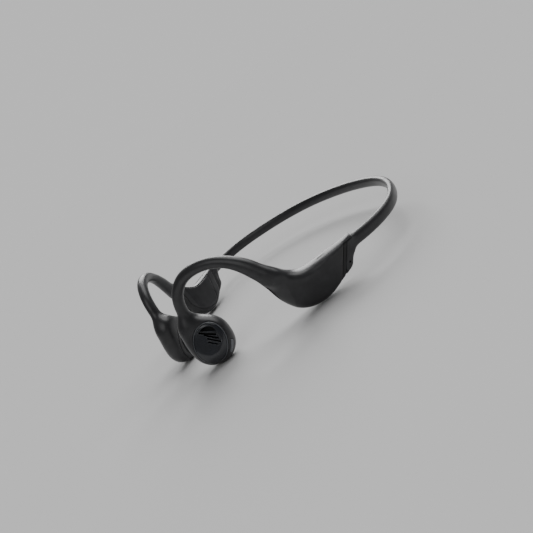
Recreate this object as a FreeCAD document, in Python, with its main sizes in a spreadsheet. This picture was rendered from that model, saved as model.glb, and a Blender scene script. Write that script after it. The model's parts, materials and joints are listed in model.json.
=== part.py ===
import FreeCAD, Part
import math
import os

import Sketcher
from FreeCAD import Placement, Rotation, Vector

# Bone conduction headphones: a rear neckband, and on each side a pod behind the ear, a hook over
# the ear and an earpiece in front of it. +Z is up, -Y is the wearer's front, +X the wearer's left.
# Every handed piece is modelled on the left and mirrored in the plane x = 0.

doc = FreeCAD.newDocument("bone_conduction_headphones")

# ---------------------------------------------------------------- driving dimensions (mm, degrees)
DIMENSIONS = [
    # neckband: three tangent arcs in one level plane
    ("band_level", 15.1, "band centreline above the resting surface"),
    ("band_rear", 67.0, "band centreline's rearmost point"),
    ("band_rear_radius", 129.8, "arc behind the neck"),
    ("band_rear_turn", 11.3, "half of the rear arc's angle"),
    ("band_corner_radius", 75.6, "arc at the rear corner"),
    ("band_corner_fixed", 23.7, "corner arc's angle on the rear piece"),
    ("band_corner_arm", 17.3, "corner arc's angle on the arm"),
    ("band_side_radius", 31.45, "arc beside the ear"),
    ("band_side_turn", 63.9, "side arc's angle"),
    ("band_tail", 8.0, "straight end of the band, inside the pod"),
    ("band_thick", 3.9, "section across the band"),
    ("band_tall", 5.7, "section up the band"),
    ("flex_gap", 0.25, "gap between the band's pieces at the flex line"),
    # hook: one upright plane, straight, arc, arc, straight
    ("hook_yaw", 215.0, "plan direction from pod to earpiece"),
    ("hook_rise", 59.3, "slope where the hook leaves the pod"),
    ("hook_start_run", 8.5, "straight start"),
    ("hook_back_radius", 29.0, "arc above and behind the ear"),
    ("hook_back_turn", 67.6, "its angle"),
    ("hook_front_radius", 17.9, "arc in front of the ear"),
    ("hook_front_turn", 67.0, "its angle"),
    ("hook_end_run", 10.0, "straight end, inside the earpiece"),
    ("hook_radius", 2.75, "hook sleeve"),
    # cores of band and hook
    ("wire_radius", 0.55, "spring wire"),
    ("cable_radius", 0.65, "four-core cable"),
    ("core_offset", 1.0, "each core above or below the sleeve's centre"),
    ("core_gap", 0.04, "radial clearance round a core"),
    ("core_tail", 1.5, "how far a core runs on past the band's end"),
    ("plug_gap", 0.05, "clearance round a sleeve where a shell holds it"),
    # pod
    ("pod_half", 4.75, "half thickness"),
    ("pod_edge", 2.6, "how far the rounded edge reaches in"),
    ("pod_wall", 2.6, "side wall"),
    ("pod_face_wall", 1.45, "face wall"),
    ("pod_seam_half", 0.25, "half the gasket's thickness"),
    ("pod_seam_top", 25.8, "seam's top end along the pod"),
    ("pod_seam_level", 3.8, "seam's top end above the pod's corner"),
    ("pod_seam_slant", 25.4, "seam's slant from upright"),
    ("gasket_outer", 0.2, "gasket inside the pod's outline"),
    ("gasket_inner", 1.9, "gasket's inner edge inside the outline"),
    ("seal_thick", 1.5, "seal strip between shells and boot"),
    ("boot_end", 5.2, "boot's rear face, behind the seam"),
    # earpiece
    ("ear_outer_half", 6.0, "outer half's thickness"),
    ("ear_inner_half", 5.2, "inner half's thickness"),
    ("ear_outer_edge", 4.0, "edge rounding at the outer face"),
    ("ear_inner_edge", 4.6, "edge rounding at the inner face"),
    ("ear_cavity_wide", 8.6, "cavity's half width"),
    ("ear_cavity_tall", 10.2, "cavity's half height"),
    ("ear_wall", 1.5, "wall behind each face"),
    ("face_wide", 8.2, "face recess, half width"),
    ("face_tall", 10.2, "face recess, half height"),
    ("face_deep", 0.9, "face recess depth"),
    ("trim_width", 0.55, "face trim ring"),
    ("trim_proud", 0.2, "face trim ring above the shell's face"),
    ("panel_proud", 0.1, "face panel above the shell's face"),
    ("vent_wide", 5.2, "window behind the louvres, half width"),
    ("vent_tall", 5.4, "window behind the louvres, half height"),
    ("mesh_thick", 0.27, "vent mesh"),
    ("face_gap", 0.04, "clearance round face pieces"),
    ("pad_wide", 6.6, "contact pad, half width"),
    ("pad_tall", 8.4, "contact pad, half height"),
    ("pad_thick", 0.9, "contact pad"),
    ("pad_round", 0.6, "contact pad's rounded edge"),
    # transducer, with levels along the earpiece's axis
    ("frame_radius", 6.5, "transducer bracket and flexure"),
    ("yoke_radius", 6.2, "moving cup"),
    ("yoke_bore", 5.45, "inside of the cup"),
    ("coil_outer", 5.1, "voice coil, outside"),
    ("coil_inner", 4.4, "voice coil, inside"),
    ("magnet_radius", 4.0, "magnet"),
    ("bracket_thick", 0.4, "transducer bracket"),
    ("bracket_bore", 2.6, "hole in the bracket"),
    ("flexure_level", 1.9, "flexure's inner face"),
    ("flexure_thick", 0.25, "flexure"),
    ("flexure_bore", 1.7, "hole in the flexure for the cup's stud"),
    ("coil_level", -0.95, "voice coil's outer end"),
    ("cup_level", 0.2, "inner face of the moving cup's end plate"),
    ("cup_plate", 1.0, "end plate of the moving cup"),
    ("skirt_level", -2.6, "open end of the moving cup"),
    ("stud_radius", 1.2, "stud on the moving cup"),
    ("stud_level", 2.4, "end of the stud"),
    # keys
    ("key_gap", 0.15, "clearance round a key"),
    ("key_proud", 0.3, "how far a key stands proud"),
    ("multi_key_long", 6.6, "multifunction key's length"),
    ("multi_key_wide", 1.8, "multifunction key's width"),
    ("multi_key_deep", 2.1, "multifunction key's depth below the surface"),
    ("volume_key_long", 4.8, "volume key's length"),
    ("volume_key_wide", 2.0, "volume key's width"),
    ("volume_key_deep", 2.3, "volume key's depth below the surface"),
    ("switch_gap", 0.5, "between a key at rest and its switch"),
    ("multi_switch_long", 3.6, "multifunction switch"),
    ("multi_switch_wide", 1.5, "multifunction switch"),
    ("multi_switch_deep", 0.8, "multifunction switch"),
    ("volume_switch_long", 3.0, "volume switch"),
    ("volume_switch_wide", 2.4, "volume switch"),
    ("volume_switch_deep", 0.9, "volume switch"),
    # what the pods hold
    ("cell_long", 15.0, "battery cell"),
    ("cell_tall", 9.0, "battery cell"),
    ("cell_thick", 5.0, "battery cell"),
    ("cell_round", 0.8, "battery cell's rounded edges"),
    ("cell_board_tall", 7.6, "protection board at the cell's end"),
    ("cell_board_wide", 4.4, "protection board across the pod"),
    ("mic_radius", 0.45, "microphone's hole"),
    ("mic_long", 2.2, "microphone"),
    ("mic_tall", 2.8, "microphone"),
    ("mic_thick", 1.2, "microphone"),
    ("board_long", 16.0, "main board"),
    ("board_tall", 8.0, "main board"),
    ("board_thick", 0.8, "main board"),
    ("module_long", 7.0, "radio module"),
    ("module_tall", 6.0, "radio module"),
    ("module_thick", 1.1, "radio module"),
    ("recess_long", 13.0, "charging recess"),
    ("recess_wide", 5.0, "charging recess"),
    ("recess_deep", 0.45, "charging recess"),
    ("contact_spacing", 4.4, "between the two charging contacts"),
    ("contact_radius", 0.9, "charging contact"),
    ("magnet_spacing", 11.2, "between the two charging magnets"),
    ("charge_magnet_radius", 1.4, "charging magnet"),
    ("charge_magnet_thick", 1.5, "charging magnet"),
    ("contact_back", 0.45, "how far a contact reaches into the cavity"),
    ("light_radius", 0.6, "status light pipe"),
    ("light_back", 0.7, "how far the light pipe reaches into the cavity"),
    ("light_set_back", 0.1, "light pipe's end below the pod's face"),
    ("board_level", -1.4, "main board's inner face"),
]

sheet = doc.addObject("Spreadsheet::Sheet", "dims")
for row, (alias, value, note) in enumerate(DIMENSIONS, 1):
    sheet.set(f"A{row}", note)
    sheet.set(f"B{row}", str(value))
    sheet.setAlias(f"B{row}", alias)
doc.recompute()


def dim(alias):
    return float(sheet.get(alias))


def bind(feature, prop, expression):
    feature.setExpression(prop, expression)


# ---------------------------------------------------------------- stations in the object's frame
HOOK_START = Vector(58.44, -31.14, 23.49)
POD_CORNER = Vector(61.40, -23.13, 20.05)
EAR_CENTRE = Vector(19.24, -58.73, 10.60)


def level_frame(origin, yaw):
    """X along the plan direction yaw, Z up."""
    return Placement(origin, Rotation(Vector(0, 0, 1), yaw))


def standing_frame(origin, yaw, dip, lean):
    """X along yaw and dipping, Y upward, Z the outward normal, leaning down by lean."""
    turn = Rotation(Vector(0, 0, 1), yaw) * Rotation(Vector(0, 1, 0), dip)
    return Placement(origin, turn * Rotation(Vector(1, 0, 0), 90 + lean))


POD_FRAME = standing_frame(POD_CORNER, 64.7, 9.3, 11.6)
EAR_FRAME = standing_frame(EAR_CENTRE, 49.6, 23.9, -12.0)
HOOK_FRAME = standing_frame(HOOK_START, dim("hook_yaw"), -dim("hook_rise"), 0)

# ---------------------------------------------------------------- outlines
# The pod, seen from outside: X runs back along it from the corner under the hook, Y up.
POD_OUTLINE = [
    (10.0, -0.1), (3.0, -0.3), (-2.0, 2.0), (-6.4, 5.4), (-10.6, 5.8), (-13.3, 3.0), (-12.7, -2.5),
    (-10.9, -7.5), (-8.3, -12.2), (-3.8, -16.6), (3.5, -18.8), (10.5, -17.7), (17.8, -13.9),
    (23.6, -11.0), (28.5, -8.1), (33.1, -4.8), (36.4, -1.4), (37.2, 2.2), (34.0, 4.7),
    (27.5, 3.4), (19.0, 1.6),
]
# The earpiece, seen from outside: X runs back, Y up, with a lobe that holds the hook's end.
EAR_OUTLINE = [
    (-0.5, -10.1), (5.3, -9.4), (10.4, -5.9), (12.6, -0.2), (11.5, 5.3), (8.7, 10.1), (4.3, 13.0),
    (-1.0, 14.4), (-6.5, 15.4), (-11.2, 13.9), (-13.1, 9.5), (-11.9, 3.8), (-9.5, -2.2),
    (-5.9, -7.4),
]
EAR_MIDDLE = Vector(1.6, 1.6, 0)
FACE_MIDDLE = Vector(1.8, 1.1, 0)
VENT_MIDDLE = FACE_MIDDLE + Vector(0.6, 3.2, 0)
# The vent in the face, in the earpiece's axes: an arched opening, and under it louvre slots that
# slant down to the rear, each given as its two ends and its width.
VENT_ARCH = [
    (1.7, 7.15), (4.7, 6.9), (4.9, 7.6), (4.0, 8.6), (2.2, 9.15), (0.3, 8.95), (-1.3, 8.1),
    (-1.2, 7.5),
]
LOUVRES = [
    ((-2.3, 6.75), (5.0, 5.0), 0.85),
    ((0.0, 5.4), (5.8, 3.2), 0.8),
    ((1.1, 3.6), (6.6, 1.5), 0.75),
    ((1.0, 2.0), (5.3, 0.4), 0.6),
]

FIT = 0.05         # clearance round a small piece in its seat
SKIN = 0.02        # clearance between two flat faces that rest on each other
PARTING = 0.03     # gap at a line where two moulded pieces meet
THROUGH = 3.0      # how far a cutting form runs on past what it cuts
BEYOND = 60.0      # longer than any one piece in a pod
RIM_SHARES = (0.45, 0.72, 0.9, 1.0)
RIM_POWER = 2.4    # the rounded rims are superellipses


def inset(outline, distance):
    """The anticlockwise closed outline moved inward by distance."""
    count = len(outline)
    moved = []
    for i, (x, y) in enumerate(outline):
        before = outline[i - 1]
        after = outline[(i + 1) % count]
        run = math.hypot(after[0] - before[0], after[1] - before[1])
        across = ((before[1] - after[1]) / run, (after[0] - before[0]) / run)
        moved.append((x + distance * across[0], y + distance * across[1]))
    return moved


# ---------------------------------------------------------------- feature helpers
def new_body(label, placement):
    body = doc.addObject("PartDesign::Body", label)
    body.Label = label
    body.Placement = placement
    return body


def new_sketch(body, name, role="XY_Plane", lift=0.0):
    sketch = body.newObject("Sketcher::SketchObject", f"{body.Name}_{name}")
    plane = next(f for f in body.Origin.OriginFeatures if f.Role == role)
    sketch.AttachmentSupport = (plane, [""])
    sketch.MapMode = "FlatFace"
    sketch.AttachmentOffset = Placement(Vector(0, 0, lift), Rotation())
    return sketch


def draw_circle(sketch, radius, centre=Vector()):
    """A circle whose radius is an expression on the sheet."""
    index = sketch.addGeometry(Part.Circle(centre, Vector(0, 0, 1), 1.0))
    constraint = sketch.addConstraint(Sketcher.Constraint("Radius", index, 1.0))
    sketch.addConstraint(Sketcher.Constraint("Block", index))
    sketch.setDatum(constraint, FreeCAD.Units.Quantity(value_of(radius), FreeCAD.Units.Length))
    bind(sketch, f"Constraints[{constraint}]", radius)
    return index


def value_of(expression):
    """The number that a sum of sheet aliases comes to."""
    total = 0.0
    for term in expression.replace("- ", "+ -").split("+ "):
        term = term.strip()
        sign = -1.0 if term.startswith("-") else 1.0
        term = term.lstrip("-").strip()
        total += sign * (dim(term[5:]) if term.startswith("dims.") else float(term))
    return total


def draw_ellipse(sketch, half_width, half_height, centre=Vector()):
    top = centre + Vector(0, half_height, 0)
    side = centre + Vector(half_width, 0, 0)
    if half_height > half_width:
        sketch.addGeometry(Part.Ellipse(top, side, centre))
    else:
        sketch.addGeometry(Part.Ellipse(side, top, centre))


def draw_closed_curve(sketch, outline, spans=4):
    """A smooth closed curve through the outline's points, as a few spans end to end."""
    whole = Part.BSplineCurve()
    whole.interpolate(Points=[Vector(x, y, 0) for x, y in outline], PeriodicFlag=True)
    first = whole.FirstParameter
    step = (whole.LastParameter - first) / spans
    for i in range(spans):
        span = whole.copy()
        span.segment(first + i * step, first + (i + 1) * step)
        sketch.addGeometry(span)


def draw_polygon(sketch, corners):
    for i, corner in enumerate(corners):
        sketch.addGeometry(Part.LineSegment(corners[i - 1], corner))


def draw_box(sketch, width, height, centre=Vector(), turn=0.0):
    spin = Rotation(Vector(0, 0, 1), turn)
    halves = [(-1, -1), (1, -1), (1, 1), (-1, 1)]
    draw_polygon(sketch, [centre + spin * Vector(i * width / 2, j * height / 2, 0)
                          for i, j in halves])


def draw_pill(sketch, length, width, centre=Vector()):
    """A slot with round ends, along X."""
    radius = width / 2
    reach = length / 2 - radius
    for side in (-1, 1):
        y = centre.y + side * radius
        sketch.addGeometry(Part.LineSegment(Vector(centre.x - reach, y, 0),
                                            Vector(centre.x + reach, y, 0)))
        middle = Vector(centre.x + side * reach, centre.y, 0)
        first = math.radians(-90 if side > 0 else 90)
        sketch.addGeometry(Part.ArcOfCircle(Part.Circle(middle, Vector(0, 0, 1), radius),
                                            first, first + math.pi))


def pad(body, sketch, length, reverse=False):
    """Pads by a sheet expression or a plain length."""
    feature = body.newObject("PartDesign::Pad", f"{sketch.Name}_pad")
    feature.Profile = sketch
    set_length(feature, length)
    feature.Reversed = reverse
    return feature


def pocket(body, sketch, length, reverse=False, both_ways=False):
    """Cuts down from the sketch, or up from it when reversed; fails if nothing is removed."""
    doc.recompute()
    before = body.Shape.Volume
    feature = body.newObject("PartDesign::Pocket", f"{sketch.Name}_pocket")
    feature.Profile = sketch
    set_length(feature, length)
    feature.Reversed = reverse
    feature.Midplane = both_ways
    doc.recompute()
    if body.Shape.Volume >= before - 1e-6:
        raise RuntimeError(f"{feature.Name} removed nothing")
    return feature


def set_length(feature, length):
    if isinstance(length, str):
        bind(feature, "Length", length)
    else:
        feature.Length = length


def soft_block(body, outline, low, high, edge):
    """A block lofted from height low to height high, drawn in by edge at each rounded rim.
    The rim at a height of nearly 0 is a seam and stays square."""
    rims = [high] if abs(low) < 1 else [low, high]
    heights = {share * rim for rim in rims for share in RIM_SHARES}
    heights.add(low if len(rims) == 1 else 0.0)
    sections = []
    for i, height in enumerate(sorted(heights)):
        share = min(1.0, abs(height) / abs(high))
        draw_in = edge * (1 - (1 - share ** RIM_POWER) ** (1 / RIM_POWER)) if share > 0.1 else 0.0
        sketch = new_sketch(body, f"rim{i}", lift=height)
        draw_closed_curve(sketch, inset(outline, draw_in))
        sections.append(sketch)
    loft = body.newObject("PartDesign::AdditiveLoft", f"{sections[0].Name}_loft")
    loft.Profile = sections[0]
    loft.Sections = sections[1:]
    return loft


def draw_route(sketch, runs):
    """Straight runs (length, 0) and right-hand arcs (radius, degrees), end to end from the
    origin along X. Returns where the route ends and its heading in degrees."""
    here = Vector()
    heading = 0.0
    for size, turn in runs:
        ahead = Vector(math.cos(math.radians(heading)), math.sin(math.radians(heading)), 0)
        if turn == 0:
            there = here + ahead * size
            sketch.addGeometry(Part.LineSegment(here, there))
        else:
            centre = here + Vector(ahead.y, -ahead.x, 0) * size
            last = math.radians(heading + 90)
            first = last - math.radians(turn)
            circle = Part.Circle(centre, Vector(0, 0, 1), size)
            sketch.addGeometry(Part.ArcOfCircle(circle, first, last))
            there = centre + Vector(math.cos(first), math.sin(first), 0) * size
            heading -= turn
        here = there
    return here, heading


def tube(label, frame, runs, draw_section):
    """A body swept along the runs, with its section drawn across their start."""
    body = new_body(label, frame)
    path = new_sketch(body, "path")
    draw_route(path, runs)
    section = new_sketch(body, "section", "YZ_Plane")
    draw_section(section)
    pipe = body.newObject("PartDesign::AdditivePipe", f"{label}_pipe")
    pipe.Profile = section
    pipe.Spine = (path, [f"Edge{i + 1}" for i in range(len(runs))])
    return body


def cut(label, base, *tools):
    """base less each tool in turn; the last cut carries the label."""
    result = base
    for i, tool in enumerate(tools):
        step = doc.addObject("Part::Cut", f"{label}_cut{i}")
        step.Base = result
        step.Tool = tool
        result = step
    result.Label = label
    return result


sub_parts = []


def keep(*objects):
    sub_parts.extend(objects)


def both_sides(name, left):
    """Keeps the left piece and its mirror image as the right one."""
    left.Label = f"left_{name}"
    right = doc.addObject("Part::Mirroring", f"right_{name}")
    right.Source = left
    right.Normal = Vector(1, 0, 0)
    right.Label = f"right_{name}"
    keep(left, right)
    return right


def right_only(name, pattern):
    """Keeps only the mirror image of a piece that was modelled on the left."""
    pattern.Label = f"{name}_pattern"
    right = doc.addObject("Part::Mirroring", name)
    right.Source = pattern
    right.Normal = Vector(1, 0, 0)
    right.Label = name
    keep(right)
    return right


# ---------------------------------------------------------------- neckband
def band_sleeve_section(sketch):
    draw_ellipse(sketch, dim("band_thick") / 2, dim("band_tall") / 2)
    draw_circle(sketch, "dims.wire_radius + dims.core_gap", Vector(0, dim("core_offset"), 0))
    draw_circle(sketch, "dims.cable_radius + dims.core_gap", Vector(0, -dim("core_offset"), 0))


def band_envelope_section(sketch):
    gap = dim("plug_gap")
    draw_ellipse(sketch, dim("band_thick") / 2 + gap, dim("band_tall") / 2 + gap)


def wire_section(sketch):
    draw_circle(sketch, "dims.wire_radius", Vector(0, dim("core_offset"), 0))


def cable_section(sketch):
    draw_circle(sketch, "dims.cable_radius", Vector(0, -dim("core_offset"), 0))


def rear_point(turn):
    """The band's centreline on its left, turn degrees round from the rearmost point."""
    rear_radius = dim("band_rear_radius")
    corner_radius = dim("band_corner_radius")
    first = math.radians(dim("band_rear_turn"))
    last = math.radians(turn)
    x = rear_radius * math.sin(first) + corner_radius * (math.sin(last) - math.sin(first))
    drop = rear_radius * (1 - math.cos(first)) + corner_radius * (math.cos(first) - math.cos(last))
    return Vector(x, dim("band_rear") - drop, dim("band_level"))


def gap_angle(gap):
    return math.degrees(gap / dim("band_corner_radius"))


flex_turn = dim("band_rear_turn") + dim("band_corner_fixed")
# The flex line is the band's outer edge, so the arm's end face opens away from the rear piece.
arm_start_turn = flex_turn + gap_angle(dim("flex_gap"))
arm_frame = level_frame(rear_point(arm_start_turn), -arm_start_turn)
arm_runs = [
    (dim("band_corner_radius"), dim("band_corner_arm") - gap_angle(dim("flex_gap"))),
    (dim("band_side_radius"), dim("band_side_turn")),
    (dim("band_tail"), 0),
]
core_arm_runs = arm_runs[:-1] + [(dim("band_tail") + dim("core_tail"), 0)]
left_start = rear_point(flex_turn)
rear_frame = level_frame(Vector(-left_start.x, left_start.y, left_start.z), flex_turn)
rear_runs = [
    (dim("band_corner_radius"), dim("band_corner_fixed")),
    (dim("band_rear_radius"), 2 * dim("band_rear_turn")),
    (dim("band_corner_radius"), dim("band_corner_fixed")),
]

keep(tube("rear_band_sleeve", rear_frame, rear_runs, band_sleeve_section))
keep(tube("rear_band_wire", rear_frame, rear_runs, wire_section))
keep(tube("rear_band_cable", rear_frame, rear_runs, cable_section))
both_sides("band_sleeve", tube("left_band_sleeve", arm_frame, arm_runs, band_sleeve_section))
both_sides("band_wire", tube("left_band_wire", arm_frame, core_arm_runs, wire_section))
both_sides("band_cable", tube("left_band_cable", arm_frame, core_arm_runs, cable_section))
band_envelope = tube("band_envelope", arm_frame, core_arm_runs, band_envelope_section)


# ---------------------------------------------------------------- ear hook
def hook_sleeve_section(sketch):
    draw_circle(sketch, "dims.hook_radius")
    draw_circle(sketch, "dims.wire_radius + dims.core_gap", Vector(0, dim("core_offset"), 0))
    draw_circle(sketch, "dims.cable_radius + dims.core_gap", Vector(0, -dim("core_offset"), 0))


def hook_envelope_section(sketch):
    draw_circle(sketch, "dims.hook_radius + dims.plug_gap")


hook_runs = [
    (dim("hook_start_run"), 0),
    (dim("hook_back_radius"), dim("hook_back_turn")),
    (dim("hook_front_radius"), dim("hook_front_turn")),
    (dim("hook_end_run"), 0),
]
both_sides("hook_sleeve", tube("left_hook_sleeve", HOOK_FRAME, hook_runs, hook_sleeve_section))
both_sides("hook_wire", tube("left_hook_wire", HOOK_FRAME, hook_runs, wire_section))
both_sides("hook_cable", tube("left_hook_cable", HOOK_FRAME, hook_runs, cable_section))
hook_envelope = tube("hook_envelope", HOOK_FRAME, hook_runs, hook_envelope_section)


# ---------------------------------------------------------------- pod
def seam_point(along, up):
    """A point on the slanted seam's own axes: along is measured back from the seam."""
    slant = math.radians(dim("pod_seam_slant"))
    foot = Vector(dim("pod_seam_top") + math.sin(slant) * up,
                  dim("pod_seam_level") + math.cos(slant) * up, 0)
    return foot + Vector(math.cos(slant), -math.sin(slant), 0) * along


def seam_half_plane(sketch, start, stop):
    """A tall box between two distances behind the seam."""
    draw_polygon(sketch, [seam_point(start, BEYOND), seam_point(start, -BEYOND),
                          seam_point(stop, -BEYOND), seam_point(stop, BEYOND)])


def pod_shell(label, side):
    """One shell: side +1 is the outer one, -1 the one against the head."""
    half = dim("pod_half")
    seam = dim("pod_seam_half")
    body = new_body(label, POD_FRAME)
    soft_block(body, POD_OUTLINE, side * seam, side * half, dim("pod_edge"))
    tail = new_sketch(body, "tail")
    seam_half_plane(tail, 0, BEYOND)
    pocket(body, tail, BEYOND, both_ways=True)
    cavity = new_sketch(body, "cavity")
    draw_closed_curve(cavity, inset(POD_OUTLINE, dim("pod_wall")))
    pocket(body, cavity, "dims.pod_half - dims.pod_face_wall", reverse=side > 0)
    return body


pod_form = new_body("pod_form", POD_FRAME)
soft_block(pod_form, POD_OUTLINE, -dim("pod_half"), dim("pod_half"), dim("pod_edge"))


def pod_slice(label, start, stop):
    """The part of the whole pod's form between two distances behind the seam."""
    slab = new_body(f"{label}_slab", POD_FRAME)
    sketch = new_sketch(slab, "form", lift=-BEYOND / 2)
    seam_half_plane(sketch, start, stop)
    pad(slab, sketch, BEYOND)
    common = doc.addObject("Part::Common", label)
    common.Base = pod_form
    common.Tool = slab
    return common


keep(cut("left_pod_outer_shell", pod_shell("pod_outer_blank", 1), hook_envelope,
         band_envelope))
keep(cut("left_pod_inner_shell", pod_shell("pod_inner_blank", -1), hook_envelope,
         band_envelope))
both_sides("pod_seal", cut("left_pod_seal", pod_slice("pod_seal_blank", PARTING,
                                                      dim("seal_thick")), band_envelope))
boot_blank = pod_slice("pod_boot_blank", dim("seal_thick") + PARTING, dim("boot_end"))

gasket = new_body("pod_gasket_blank", POD_FRAME)
gasket_rim = new_sketch(gasket, "rim", lift=SKIN - dim("pod_seam_half"))
draw_closed_curve(gasket_rim, inset(POD_OUTLINE, dim("gasket_outer")))
draw_closed_curve(gasket_rim, inset(POD_OUTLINE, dim("gasket_inner")))
pad(gasket, gasket_rim, 2 * (dim("pod_seam_half") - SKIN))
gasket_tail = new_sketch(gasket, "tail")
seam_half_plane(gasket_tail, 0, BEYOND)
pocket(gasket, gasket_tail, BEYOND, both_ways=True)


def key_frame(host, foot, outward, tilt=0.0):
    """Z out of the surface, X along the edge, at foot on the host. Tilt turns Z from the
    outline's outward direction towards the host's own Z, in degrees."""
    along = Vector(0, 0, 1).cross(outward)
    facing = Rotation(along, -tilt) * outward
    turn = Rotation(along, Vector(0, 0, 1), facing, "ZXY")
    return host * Placement(foot, turn)


def key_pair(name, frame, length, width, deep):
    """A pill key with a flange inside, and the slot that it works in."""
    proud = dim("key_proud")
    key = new_body(name, frame)
    cap = new_sketch(key, "cap", lift=-deep)
    draw_pill(cap, length, width)
    pad(key, cap, deep + proud)
    slot = new_body(f"{name}_slot", frame)
    hole = new_sketch(slot, "hole", lift=-deep - THROUGH)
    gap = dim("key_gap")
    draw_pill(hole, length + 2 * gap, width + 2 * gap)
    pad(slot, hole, deep + 2 * THROUGH)
    return key, slot


def unit(x, y):
    return Vector(x, y, 0).normalize()


volume_keys = {
    "volume_up_key": key_frame(POD_FRAME, Vector(-9.75, -9.75, 0), unit(-0.867, -0.498)),
    "volume_down_key": key_frame(POD_FRAME, Vector(-6.0, -14.85, 0), unit(-0.73, -0.684)),
}
slots = []
for key_name, frame in volume_keys.items():
    key, slot = key_pair(f"{key_name}_pattern", frame, dim("volume_key_long"),
                         dim("volume_key_wide"), dim("volume_key_deep"))
    right_only(key_name, key)
    slots.append(slot)

keep(cut("left_pod_gasket", gasket, hook_envelope, band_envelope))

# Pieces of the left pod: the cell, its board, and a microphone behind a hole in the boot.
CELL = Vector(6.5, -7.9, 0)
CELL_BOARD = CELL + Vector(8.4, 0.5, 0)
cell = new_body("battery_cell", POD_FRAME)
cell_form = new_sketch(cell, "form", lift=-dim("cell_thick") / 2)
draw_box(cell_form, dim("cell_long"), dim("cell_tall"), CELL)
cell_pad = pad(cell, cell_form, "dims.cell_thick")
cell_round = cell.newObject("PartDesign::Fillet", "battery_cell_round")
doc.recompute()
cell_round.Base = (cell_pad, [f"Edge{i + 1}" for i in range(len(cell_pad.Shape.Edges))])
cell_round.Radius = dim("cell_round")
keep(cell)

cell_board = new_body("battery_protection_board", POD_FRAME)
cell_board_form = new_sketch(cell_board, "form", lift=-dim("cell_board_wide") / 2)
draw_box(cell_board_form, dim("board_thick"), dim("cell_board_tall"), CELL_BOARD)
pad(cell_board, cell_board_form, "dims.cell_board_wide")
keep(cell_board)

MIC = seam_point(3.4, -10.5)
MIC_LEVEL = -0.4
mic_hole = new_body("microphone_hole", POD_FRAME)
mic_hole_form = new_sketch(mic_hole, "form", lift=MIC_LEVEL + dim("mic_thick"))
draw_circle(mic_hole_form, "dims.mic_radius", MIC)
pad(mic_hole, mic_hole_form, "2 * dims.pod_half")
microphone = new_body("microphone", POD_FRAME)
microphone_form = new_sketch(microphone, "form", lift=MIC_LEVEL)
draw_box(microphone_form, dim("mic_long"), dim("mic_tall"), MIC, -dim("pod_seam_slant"))
pad(microphone, microphone_form, "dims.mic_thick")
keep(microphone)
mic_seat = new_body("microphone_seat", POD_FRAME)
mic_seat_form = new_sketch(mic_seat, "form", lift=MIC_LEVEL - FIT)
draw_box(mic_seat_form, dim("mic_long") + 2 * FIT, dim("mic_tall") + 2 * FIT, MIC,
         -dim("pod_seam_slant"))
pad(mic_seat, mic_seat_form, dim("mic_thick") + 2 * FIT)
keep(cut("left_band_boot", boot_blank, band_envelope, mic_hole, mic_seat))

# The right pod has the key slots, and its outer shell the charging recess and the status light.
CHARGE = Vector(7.0, -7.5, 0)
LIGHT = Vector(18.0, -5.0, 0)
BOARD = Vector(6.2, -7.5, 0)
recess_floor = dim("pod_half") - dim("recess_deep")
cavity_top = dim("pod_half") - dim("pod_face_wall")


def side_by_side(spacing):
    """Two points along the pod, either side of the charging recess's middle."""
    return [CHARGE + Vector(shift * spacing / 2, 0, 0) for shift in (-1, 1)]


def pod_discs(label, radius, points, low, high):
    """Round solids across the pod from height low to high."""
    body = new_body(label, POD_FRAME)
    form = new_sketch(body, "form", lift=low)
    for point in points:
        draw_circle(form, radius, point)
    pad(body, form, high - low)
    return body


def pod_plate(label, length, height, thick, centre, low):
    """A flat plate along the pod whose lower face is at height low."""
    body = new_body(label, POD_FRAME)
    form = new_sketch(body, "form", lift=low)
    draw_box(form, dim(length), dim(height), centre)
    pad(body, form, f"dims.{thick}")
    return body


recess = new_body("charging_recess", POD_FRAME)
recess_form = new_sketch(recess, "form", lift=recess_floor)
draw_pill(recess_form, dim("recess_long"), dim("recess_wide"), CHARGE)
pad(recess, recess_form, THROUGH)
contact_points = side_by_side(dim("contact_spacing"))
hole_low = cavity_top - THROUGH / 2
hole_high = dim("pod_half") + THROUGH / 2
pin_holes = [pod_discs(f"contact_hole{i}", f"dims.contact_radius + {FIT}", [point], hole_low,
                       hole_high) for i, point in enumerate(contact_points)]
light_seat = pod_discs("light_seat", f"dims.light_radius + {FIT}", [LIGHT], hole_low, hole_high)

right_shell = cut("right_outer_pattern", pod_shell("right_outer_blank", 1), hook_envelope,
                  band_envelope, *slots, recess, *pin_holes, light_seat)
right_only("right_pod_outer_shell", right_shell)
right_inner = cut("right_inner_pattern", pod_shell("right_inner_blank", -1), hook_envelope,
                  band_envelope, *slots)
right_only("right_pod_inner_shell", right_inner)
right_only("right_pod_gasket", cut("right_gasket_pattern", gasket, hook_envelope, band_envelope,
                                   *slots))
right_only("right_band_boot", cut("right_boot_pattern", boot_blank, band_envelope))
right_only("charging_contacts", pod_discs("charging_contacts_pattern", "dims.contact_radius",
                                          contact_points, cavity_top - dim("contact_back"),
                                          recess_floor))
right_only("charging_magnets", pod_discs("charging_magnets_pattern", "dims.charge_magnet_radius",
                                         side_by_side(dim("magnet_spacing")),
                                         cavity_top - FIT - dim("charge_magnet_thick"),
                                         cavity_top - FIT))
right_only("main_board", pod_plate("main_board_pattern", "board_long", "board_tall",
                                   "board_thick", BOARD, dim("board_level")))
module_level = dim("board_level") + dim("board_thick") + SKIN
right_only("bluetooth_module", pod_plate("bluetooth_module_pattern", "module_long",
                                         "module_tall", "module_thick",
                                         BOARD + Vector(-3.5, 0, 0), module_level))
right_only("status_light_pipe", pod_discs("status_light_pattern", "dims.light_radius", [LIGHT],
                                          cavity_top - dim("light_back"),
                                          dim("pod_half") - dim("light_set_back")))

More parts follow.
